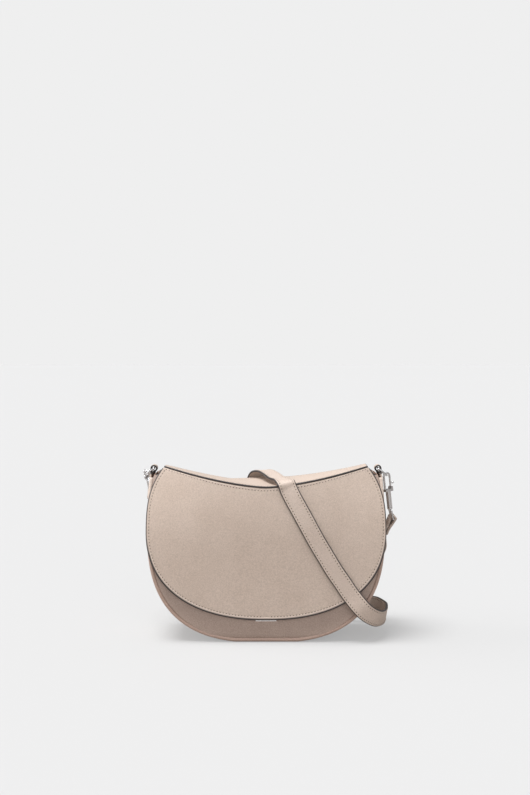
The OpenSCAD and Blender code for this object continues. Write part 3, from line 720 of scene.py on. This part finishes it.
pocket = {
    "halfW": 55.0,
    "h": 70.0,
    "low": 53.3,
    "slack": 1.2,  # of its top edge
    "off": 0.3,  # from the lining
    "seam": 2.2,
    "openFrom": 3.0,  # the stitches end this far below the top edge
    "turnAt": 40.0,  # their order goes round a place this far above the pocket's middle
}
pocketTop = pocket["low"] + pocket["h"]
corners = np.array([[-1, pocket["low"]], [1, pocket["low"]], [1, pocketTop], [-1, pocketTop]]) * (pocket["halfW"], 1)
pocketLine = eased(corners, 240, 6)
pocketMiddle = np.array([0.0, pocket["low"] + pocket["h"] / 2])
pocketDepth = liningDepth + s["liningT"] + pocket["off"]


# The pocket hangs off the lining with the cube of the height, most in the middle of its width
def pocketY(x, z, d=0.0):
    rise = np.clip((z - pocket["low"]) / pocket["h"], 0, 1)
    slack = pocket["slack"] * rise ** 3 * np.clip(1 - (x / pocket["halfW"]) ** 2, 0, 1)
    return backY(x, z) - pocketDepth - s["liningT"] - slack + d


settle(sheet("slip_pocket_suede", pocketLine, pocketMiddle, pocketY, s["liningT"], liningSuede),
       "slip_pocket")
pocketSeam = inward(pocketLine, pocketMiddle, pocket["seam"])
pocketSeam = pocketSeam[pocketSeam[:, 1] < pocketTop - pocket["openFrom"]]
seamTurn = np.arctan2(pocketSeam[:, 0], pocketMiddle[1] + pocket["turnAt"] - pocketSeam[:, 1])
pocketSeam = pocketSeam[np.argsort(seamTurn)]
for row in stitchRow("slip_pocket", onFace(pocketSeam, pocketY), faceUp(pocketSeam, pocketY)):
    settle(row)
print("walls made")


# Gusset round the sides and base, its lining, and the piping along both seams
gusset = {
    "short": 3.4,  # from the walls' faces to the gusset's edges
    "low": 0.7,  # from the body's full height down to its top edge
    "crown": 0.5,  # outward swell of the gusset between its seams
    "liningInset": 4.0,
    "pipingIn": 1.6,  # from the walls' faces to the piping's middle
    "pipingShort": 1.5,  # from the gusset's top to the piping's ends
    "pipingRound": 0.925,  # share of the piping's radius at which its cover is worn round
    "pipingSides": 16,
}


# One side, the base and the other side as one even line
def sidePath(inset, low, count):
    right = sideLine(inset, s["bodyH"] - low)
    return evenly(np.concatenate([mirrored(right), right]), count)


# A band between the two walls' faces, along the body's sides and base
def sideBand(name, inset, t, low, material, crown):
    flat = sidePath(inset + t / 2, low, 260)
    front = frontY(flat[:, 0], flat[:, 1]) + gusset["short"]
    back = backY(flat[:, 0], flat[:, 1]) - gusset["short"]
    path = np.stack([flat[:, 0], (front + back) / 2, flat[:, 1]], 1)
    return strip(name, path, depthWise(path), bandUp(flat), (back - front) / 2, t, material, across=15, crown=crown,
                 edgePaint=0)


settle(sideBand("gusset_leather", 0, s["leatherT"], gusset["low"], bodyLeather, gusset["crown"]), "gusset")
settle(sideBand("gusset_lining_suede", gusset["liningInset"], s["liningT"], s["leatherT"], liningSuede, 0),
       "gusset_lining")


# A round tube along a wall's seam
def piping(name, place):
    r = s["pipingD"] / 2
    flat = sidePath(r, r + gusset["pipingShort"], 420)
    path = onFace(flat, place)
    a = np.linspace(0, 2 * np.pi, gusset["pipingSides"], endpoint=False)
    section = np.stack([np.cos(a), np.sin(a)], 1) * r * gusset["pipingRound"]
    loops = (path[:, None] + section[None, :, 0:1] * bandUp(flat)[:, None]
             + section[None, :, 1:2] * depthWise(path)[:, None])
    return shell(name, loops, pipingShadedLitLeather, paint=np.zeros((len(path), len(a))))


settle(piping("front_piping_leather", lambda x, z: frontY(x, z) + gusset["pipingIn"]),
       "front_piping")
settle(piping("back_piping_leather", lambda x, z: backY(x, z) - gusset["pipingIn"]), "back_piping")
print("gusset and piping made")


# Flap: outer leather with a painted edge that covers the layers, its lining, and the seam's stitches
flap = {
    "edgeT": 2.5,  # thickness of the painted edge
    "groove": 0.22,
    "threadSink": 0.8,  # how deep the stitches lie, as a share of the groove
    "roofT": 1.7,
    "underRoof": 0.15,  # from the roof's leather down to the flap's top edge
    "liningIn": 0.7,
    "sideSeam": 3.1,  # from the edge to the stitches at the sides
    "lowSeam": 3.7,  # the same at the lowest point
    "topSeam": 2.4,  # the same under the roof's edge
    "topFade": 2.5,  # how far down the top's values reach
    "lowPaintAndShade": 1.9,  # how far the edge paint comes onto the face at the lowest point; its width there beyond the sides' is painted shade under the edge
    "sidePaint": 1.0,
}
flapMiddle = np.array([0.0, s["flapWaistH"]])
flapLine = eased(flapOutline(0, flap["roofT"] + flap["underRoof"]), 700)


# The flap's outer face lies flapFace before the front wall's face
def flapY(x, z, d=0.0):
    return frontY(x, z) - flapFace + d


# How low a place of the edge is, 1 at the lowest and 0 from the waist up, and how near the roof, 1 along its edge
lowShare = np.clip((s["flapWaistH"] - flapLine[:, 1]) / (s["flapWaistH"] - s["flapLowH"]), 0, 1) ** 0.7
topEdge = roofZ(flapLine[:, 0]) - flap["roofT"] - flap["underRoof"]
topShare = np.clip(1 - (topEdge - flapLine[:, 1]) / flap["topFade"], 0, 1)
seamIn = flap["sideSeam"] + (flap["lowSeam"] - flap["sideSeam"]) * lowShare
seamIn += (flap["topSeam"] - seamIn) * topShare
# The dark edge widens towards the lowest point: edge paint, with painted shade under the edge
flapPaint = (flap["sidePaint"] + (flap["lowPaintAndShade"] - flap["sidePaint"]) * lowShare) * (1 - topShare)
# The rim outside the flap's stitches gets a painted highlight, strongest at its lowest point
settle(sheet("flap_leather", flapLine, flapMiddle, flapY, s["leatherT"], bodyLeather, edge=flap["edgeT"],
             groove=flap["groove"], seam=seamIn, paintIn=flapPaint, glow=lowShare),
       "flap_front", body="flap")
flapSeam = inward(flapLine, flapMiddle, seamIn[:, None])
flapSeam = np.concatenate([flapSeam, flapSeam[:1]])
sunkThread = onFace(flapSeam, lambda x, z: flapY(x, z, flap["groove"] * flap["threadSink"]))
for row in stitchRow("flap", sunkThread, faceUp(flapSeam, flapY)):
    settle(row, body="flap")
flapLiningLine = eased(flapOutline(flap["liningIn"], s["flapT"] + s["gap"]), 420)
settle(sheet("flap_lining_suede", flapLiningLine, flapMiddle,
             lambda x, z, d: flapY(x, z, s["flapT"] - s["liningT"] + d), s["liningT"], liningSuede),
       "flap_lining", "flap")


# Roof: a slab along the roof's curve, from the flap's face to the back wall, that then sinks
def roofSlab(name, inset, drop, t, proud, material, paint):
    x = np.linspace(-1, 1, 150) * (s["roofW"] / 2 - inset - t / 2)
    z = roofZ(x) - drop
    front, back = frontY(x, z) - flapFace - proud, backY(x, z) - inset
    path = np.stack([x, (front + back) / 2, z - t / 2], 1)
    up = -bandUp(path[:, [0, 2]])
    return strip(name, path, depthWise(path), up, (back - front) / 2, t, material, across=40, edgePaint=paint,
                 endPaint=paint, bend=sunk)


hinge(roofSlab("roof_leather", 0, 0, flap["roofT"], s["roofProud"], bodyLeather, 1.0), "flap_roof")
hinge(roofSlab("roof_lining_suede", s["leatherT"], flap["roofT"] + s["gap"], s["liningT"], -s["leatherT"],
               liningSuede, 0.0), "roof_lining")

rearSeam = {
    "inset": 1.5,
    "lap": 0.5,  # how far it comes up into the roof's leather
    "depth": 1.9,  # from the back wall's face
    "height": 7.0,
    "t": 1.2,
}


# The strip that joins the back wall to the roof, inside the panel's leather and along the sunk roof
def seamStrip(seam):
    x = np.linspace(-1, 1, 150) * (s["roofW"] / 2 - seam["inset"])
    rim = roofZ(x) - sinkAt(x, s["halfD"]) - flap["roofT"] + seam["lap"]
    path = np.stack([x, backY(x, rim) - seam["depth"], rim - seam["height"] / 2], 1)
    along = tangents(path)
    up = unit(np.cross(np.array([0.0, 0.0, 1.0]), along))
    return strip("rear_seam_leather", path, np.cross(along, up), up, seam["height"] / 2, seam["t"], bodyLeather,
                 edgePaint=0.0, endPaint=0.0)


settle(seamStrip(rearSeam))


# The stitches along one long edge of the roof
def roofStitches(name, edgeY):
    x = np.linspace(-1, 1, 300) * (s["roofW"] / 2 - thread["inset"])
    z = roofZ(x)
    up = unit(np.stack([-np.gradient(z, x), np.zeros(len(x)), np.ones(len(x))], 1))
    for row in stitchRow(name, sunk(np.stack([x, edgeY(x, z), z], 1)), up):
        hinge(row)


roofStitches("roof_front", lambda x, z: frontY(x, z) - flapFace - s["roofProud"] + thread["inset"])
roofStitches("roof_back", lambda x, z: backY(x, z) - thread["inset"])
print("flap made")


# Ring tabs: a leather strip that comes up outside the gusset, goes round the ring's bar and down inside
tabs = {
    "ringX": 112.0,
    "ringBack": 12.0,
    "ringZ": 163.5,
    "loopD": 7.0,
    "loopTurn": (-20, 215),  # degrees at which the loop begins and ends
    "width": 9.0,
    "leg": 20.0,
    "legTop": 0.6,  # from the body's full height down to the legs' tops
    "t": 1.4,
    "seat": 0.3,
    "stitchIn": 2.2,
    "stitched": (5, 34),  # places of the path between which the outer leg is stitched
}


# Half the body's width at a height above its waist
def edgeX(z):
    return s["halfW"] - s["shoulderIn"] * ((z - s["waistH"]) / (s["bodyH"] - s["waistH"])) ** 2


# Two legs beside the gusset and an arc over them, smoothed by averaging neighbours
def ringTab(name, side):
    t, r = tabs["t"], (tabs["loopD"] - tabs["t"]) / 2
    legZ = np.linspace(s["bodyH"] - tabs["leg"], s["bodyH"] - tabs["legTop"], 24)
    outer = np.stack([edgeX(legZ) + tabs["seat"] + t / 2, legZ], 1)
    inner = np.stack([edgeX(legZ) - s["leatherT"] - tabs["seat"] - t / 2, legZ], 1)[::-1]
    a = np.radians(np.linspace(*tabs["loopTurn"], 40))
    loop = np.array([tabs["ringX"], tabs["ringZ"]]) + r * np.stack([np.cos(a), np.sin(a)], 1)
    flat = evenly(np.concatenate([outer, loop, inner]), 120)
    for k in range(4):
        flat[1:-1] = (flat[:-2] + 2 * flat[1:-1] + flat[2:]) / 4
    flat[:, 0] *= side
    up = bandUp(flat) * side
    path = np.stack([flat[:, 0], np.full(len(flat), tabs["ringBack"]), flat[:, 1]], 1)
    wide = depthWise(path)
    settle(strip(name + "_leather", path, wide, up, tabs["width"] / 2, t, tabLeather), name)
    keep = slice(*tabs["stitched"])
    for where, across in (("_front", -1), ("_back", 1)):
        seam = path[keep] + wide[keep] * across * (tabs["width"] / 2 - tabs["stitchIn"]) + up[keep] * t / 2
        for row in stitchRow(name + where, seam, up[keep], 0.8):
            settle(row)


ringTab("left_ring_tab", -1)
ringTab("right_ring_tab", 1)
print("ring tabs made")


# Shoulder strap: a smooth line through places on the bag, over it, and behind it; each place also holds the
# direction of the strap's width. The unseen loop behind the bag is a guess.
strap = {
    "width": 17.4,
    "t": 2.2,
    "tail": 16.0,
    "wireR": 1.0,
    "seat": 0.3,
    "between": 14,  # places between two route points
    "splitY": 48.0,  # where the part that gives way to the flap begins and ends
    "rightHook": (120.886, 12.0, 156.044),  # where the hooks meet the rings
    "leftHook": (-119.583, 17.657, 158.19),
    "rightLean": 6.0,  # degrees
    "rightEyeLean": 8.0,
    "rightStrapLean": 22.0,
    "leftTip": 56.0,
    "eyeTop": -34.42,  # from the ring down to the eye's top, along the hook
    "eyeH": 9.0,
}


# Turned from the first axis towards the second: tipped is about x, leaned about y
def turned(degrees, v, first, second):
    c, n = np.cos(np.radians(degrees)), np.sin(np.radians(degrees))
    out = np.array(v)
    out[[first, second]] = v[first] * c - v[second] * n, v[first] * n + v[second] * c
    return out


def tipped(degrees, v):
    return turned(degrees, v, 1, 2)


def leaned(degrees, v):
    return turned(degrees, v, 2, 0)


bar = np.array([0, 0, -strap["eyeH"]])
eyeTop = np.array([0, 0, strap["eyeTop"]])
down, wide = np.array([0, 0, -1.0]), np.array([0, 1.0, 0])
rightEye = eyeTop + leaned(-strap["rightEyeLean"], bar)
rightBar = np.array(strap["rightHook"]) + leaned(-strap["rightLean"], rightEye)
leftBar = np.array(strap["leftHook"]) + tipped(strap["leftTip"], eyeTop + bar)
leftWidth, leftAway = tipped(strap["leftTip"], wide), tipped(strap["leftTip"], down)
rightWidth, rightAway = wide, leaned(strap["rightStrapLean"], down)


# Round the eye's bar: a tail beside the strap, half a turn, and away along the strap
def fold(centre, away, out, width):
    turn = strap["wireR"] + strap["seat"] + strap["t"] / 2
    near = turn - strap["t"] - strap["seat"]
    places = [centre + away * strap["tail"] + out * near, centre + away * strap["tail"] * 0.7 + out * near]
    for a in np.linspace(0, np.pi, 7):
        places.append(centre - turn * (out * np.cos(a) + away * np.sin(a)))
    places += [centre + away * strap["tail"] * 0.5 + out * turn, centre + away * strap["tail"] + out * turn]
    return [(p, width) for p in places]


# Places of the route, as shares of the bag's sizes; rises and depths off the roof, back and floor are shares of the
# strap's width
def onFlap(x, z, width):
    px, pz = x * s["halfW"], z * s["bodyH"]
    py = frontY(px, pz) - flapFace - s["roofProud"] - 1.5 * s["clear"] - strap["t"] / 2
    return (px, py, pz), width


def overRoof(x, y, rise, width):
    return (x * s["halfW"], y * s["halfD"], s["roofMidH"] + rise * strap["width"]), width


def roundSide(x, y, z, width):
    return (x * s["halfW"], y * s["halfD"], z * s["bodyH"]), width


def behind(x, y, z, width):
    return (x * s["halfW"], s["halfD"] + y * strap["width"], z * s["bodyH"]), width


def onFloor(x, y, width):
    return (x * s["halfW"], s["halfD"] + y * strap["width"], strap["width"] / 2 + s["clear"]), width


leftHang = [
    behind(-0.94, 2.75, 0.68, (0.3, 0.7, 0.65)),
    behind(-0.83, 3.2, 0.54, (0.3, 0.95, 0.3)),
    behind(-0.69, 3.05, 0.38, (0.2, 0.97, 0)),
    behind(-0.52, 2.65, 0.21, (0.2, 0.98, 0)),
    behind(-0.31, 2.35, 0.125, (0, 1, 0)),
    behind(-0.15, 2.1, 0.21, (0.2, 0.96, 0.1)),
    behind(-0.09, 1.65, 0.41, (0.5, 0.85, 0.15)),
    behind(-0.09, 1.2, 0.62, (0.85, 0.5, 0.1)),
    behind(-0.10, 0.85, 0.8, (0.97, 0.25, 0.05)),
    behind(-0.10, 0.5, 0.915, (0.97, 0.25, 0))]
overTop = [
    overRoof(-0.07, 1.0, 0.32, (0.95, 0.3, 0)),
    overRoof(-0.01, 0.66, 0.5, (0.92, 0.38, 0)),
    overRoof(0.045, 0.16, 0.44, (0.91, 0.4, 0)),
    overRoof(0.094, -0.38, 0.33, (0.92, 0.38, 0)),
    overRoof(0.135, -0.73, 0.31, (0.93, 0.36, 0)),
    overRoof(0.166, -1.0, 0.2, (0.92, 0.25, 0.25))]
downFront = [
    onFlap(0.187, 0.925, (0.9, 0.1, 0.4)),
    onFlap(0.224, 0.872, (0.88, 0, 0.46)),
    onFlap(0.27, 0.812, (0.87, 0, 0.5)),
    onFlap(0.343, 0.716, (0.87, 0, 0.5)),
    onFlap(0.417, 0.618, (0.86, 0, 0.51)),
    onFlap(0.491, 0.528, (0.85, 0, 0.53)),
    onFlap(0.563, 0.442, (0.83, 0, 0.56)),
    onFlap(0.635, 0.366, (0.8, 0, 0.6)),
    onFlap(0.707, 0.29, (0.78, 0, 0.63)),
    roundSide(0.817, -1.19, 0.197, (0.68, 0, 0.73)),
    roundSide(0.926, -0.83, 0.136, (0.5, 0, 0.87)),
    roundSide(1.0, -0.37, 0.118, (0.35, 0.15, 0.92)),
    roundSide(1.035, 0.09, 0.122, (0.15, 0.42, 0.9)),
    roundSide(1.01, 0.45, 0.13, (-0.05, 0.58, 0.81)),
    roundSide(0.95, 0.84, 0.132, (-0.1, 0.58, 0.81))]
floorTurn = [
    behind(0.86, 0.36, 0.105, (-0.15, 0.45, 0.88)),
    behind(0.66, 0.72, 0.07, (-0.1, 0.25, 0.96)),
    onFloor(0.40, 0.8, (0, 0, 1)),
    onFloor(0.16, 0.9, (0, 0, 1)),
    onFloor(0.04, 1.3, (0, 0, 1)),
    onFloor(-0.01, 2.0, (0, 0, 1)),
    onFloor(0.04, 2.7, (0, 0, 1)),
    onFloor(0.16, 3.05, (0, 0, 1)),
    behind(0.34, 2.95, 0.07, (-0.1, 0.1, 0.99))]
rightHang = [
    behind(0.53, 2.5, 0.12, (-0.3, 0.35, 0.89)),
    behind(0.72, 1.75, 0.2, (-0.2, 0.7, 0.68)),
    behind(0.88, 1.15, 0.3, (-0.1, 0.8, 0.6)),
    behind(0.99, 0.5, 0.41, (0, 0.85, 0.5)),
    roundSide(1.04, 0.72, 0.52, (0, 0.97, 0.2))]
leftFold = fold(leftBar, leftAway, np.cross(leftAway, leftWidth), leftWidth)
rightFold = fold(rightBar, rightAway, np.cross(rightWidth, rightAway), rightWidth)[::-1]
route = leftFold + leftHang + overTop + downFront + floorTurn + rightHang + rightFold


# A cubic between two neighbours whose slopes follow the points before and after them
def smoothLine(points, between):
    p = np.concatenate([points[:1], points, points[-1:]])
    t = (np.arange(between) / between)[None, :, None]
    a, b, c, d = (p[k:len(p) - 3 + k][:, None] for k in range(4))
    inner = (2 * b + (c - a) * t + (2 * a - 5 * b + 4 * c - d) * t ** 2 + (3 * b - a - 3 * c + d) * t ** 3) / 2
    return np.concatenate([inner.reshape(-1, points.shape[1]), points[-1:]])


routeLine = smoothLine(np.array([[*place, *width] for place, width in route]), strap["between"])
strapPath = routeLine[:, :3]
strapAlong = tangents(strapPath)
strapFace = unit(np.cross(strapAlong, routeLine[:, 3:]))
strapSide = np.cross(strapFace, strapAlong)
print("strap length:", round(float(runLength(strapPath)[-1])), "mm")

# The part that gives way when the flap opens lies between the crossings of the split depth on both sides of the roof,
# each looked for from a few route places beside it
roofAt = (len(leftFold) + len(leftHang)) * strap["between"]
splitA = next(k for k in range(roofAt - 3 * strap["between"], len(strapPath)) if strapPath[k, 1] < strap["splitY"])
splitB = next(k for k in range(roofAt + 4 * strap["between"], len(strapPath)) if strapPath[k, 1] > strap["splitY"])


# A table's value where the path crosses the split depth just before place k
def cutAt(k, table):
    share = (strap["splitY"] - strapPath[k - 1, 1]) / (strapPath[k, 1] - strapPath[k - 1, 1])
    return table[k - 1] + (table[k] - table[k - 1]) * share


# One length of the strap with its stitches on both faces, cut where it crosses the split depth; a part that gives gets
# a mesh of its own
def strapPart(name, first, last, gives, endPaint, edgePaint=1.0):
    def part(table):
        rows = [table[first:last]]
        if first:
            rows.insert(0, cutAt(first, table)[None])
        if last < len(table):
            rows.append(cutAt(last, table)[None])
        return np.concatenate(rows)
    path, side, face = part(strapPath), unit(part(strapSide)), unit(part(strapFace))
    made = [strip(name, path, side, face, strap["width"] / 2, strap["t"], strapLeather,
                  endPaint=endPaint, edgePaint=edgePaint)]
    for label, across in (("near", -1), ("far", 1)):
        for facing, up in (("outer", 1), ("inner", -1)):
            seam = path + side * across * (strap["width"] / 2 - thread["inset"]) + face * up * strap["t"] / 2
            made += stitchRow(name + "_" + label + "_" + facing, seam, face * up)
    for obj in made:
        settle(obj)
        if gives:
            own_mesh(obj)
    return made[0]


strapPart("strap_left_run", 0, splitA, False, (1.0, 0.0))
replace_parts(strapPart("strap_over_bag", splitA, splitB, True, 0.0), "shoulder_strap")
strapPart("strap_right_run", splitB, len(strapPath), False, (0.0, 0.3), 0.3)
print("strap made")


# Hard parts keep their CAD shape
finishes = {
    "closure_plate": plateFinish, "closure_magnet": magnetFinish, "flap_magnet": magnetFinish,
    "front_board": boardFinish, "base_board": boardFinish, "flap_board": boardFinish,
}
for side in ("left", "right"):
    for part in ("d_ring", "hook", "gate", "gate_pin", "swivel_eye"):
        finishes[side + "_" + part] = polished
for name, finish in finishes.items():
    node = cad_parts[name]
    node.data.materials.clear()
    node.data.materials.append(finish)
print("hard parts finished")


# Room: an even pale floor and sky, a soft high light, and weaker ones from the left and the front
room = {
    "skyColour": (239, 239, 239),
    "floorColour": (189, 189, 189),
    "dustColour": (212, 212, 212),
    "glow": 0.4,  # share of the floor's own even brightness
    "bounceColour": (168, 163, 159),  # what the floor gives back to the bag
    "skyPower": 0.5,
    "airColour": (246, 246, 248),  # what the sky gives to the bag
    "mirrorLow": (96, 94, 93),  # what metal sees low in the sky, and above
    "mirrorHigh": (250, 250, 250),
    "floorHalf": 30000.0,
    "high": {"power": 3.5, "soft": 30.0, "from": (-0.25, -0.12, 1.0)},
    "left": {"power": 1.1, "soft": 40.0, "from": (-1.0, 0.15, 0.3)},
    "front": {"power": 0.72, "soft": 55.0, "from": (0.1, -1.0, 0.28)},
}


# Floor: the camera sees an even tone mixed with shadow, the bag gets a warmer bounce
def floorFinish():
    f = Finish("floor")
    dust = f.noise(f.objectPlace(), 2.0, 2.0)
    tone = f.blend(dust * 0.02, rgb(*room["floorColour"]), rgb(*room["dustColour"]))
    lit = f.node("BsdfDiffuse", Color=tone)
    even = f.node("Emission", Color=rgb(*room["skyColour"]))
    seen = f.node("MixShader", k0=room["glow"], k1=lit, k2=even)
    given = f.node("BsdfDiffuse", Color=rgb(*room["bounceColour"]))
    mixed = f.node("MixShader", k0=f.node("LightPath"), k1=given, k2=seen)
    f.node("OutputMaterial", k0=mixed, output=None)
    return f.material


floorCorners = np.array([[-1, -1, 0], [1, -1, 0], [1, 1, 0], [-1, 1, 0]]) * room["floorHalf"]
makeMesh("floor", floorCorners, [[0, 1, 2, 3]], floorFinish())


def lamp(name, values):
    data = bpy.data.lights.new(name, "SUN")
    data.energy = values["power"]
    data.angle = np.radians(values["soft"])
    obj = added(name, data)
    obj.location = Vector(values["from"]) * 2
    obj.rotation_euler = (-Vector(values["from"])).to_track_quat("-Z", "Y").to_euler()


for where in ("high", "left", "front"):
    lamp(where + "_light", room[where])


# Sky: even for the camera and for soft light, but reflections see it darker towards the sides
def skyNodes(world):
    sky = Finish("sky", world)
    height = sky.node("SeparateXYZ", Vector=sky.node("TexCoord"), output=2)
    mirror = sky.blend((height * 1.4 - 0.1).clamped(), rgb(*room["mirrorLow"]), rgb(*room["mirrorHigh"]))
    soft = sky.node("Background", Color=rgb(*room["airColour"]), Strength=room["skyPower"])
    shiny = sky.node("Background", Color=mirror, Strength=1.0)
    seen = sky.node("Background", Color=rgb(*room["skyColour"]), Strength=1.0)
    glossy = sky.node("MixShader", k0=sky.node("LightPath", output=3), k1=soft, k2=shiny)
    whole = sky.node("MixShader", k0=sky.node("LightPath"), k1=glossy, k2=seen)
    sky.node("OutputWorld", k0=whole, output=None)


bpy.context.scene.world = bpy.data.worlds.new("room")
skyNodes(bpy.context.scene.world)
bpy.context.scene.view_settings.view_transform = "Standard"
print("room lit")
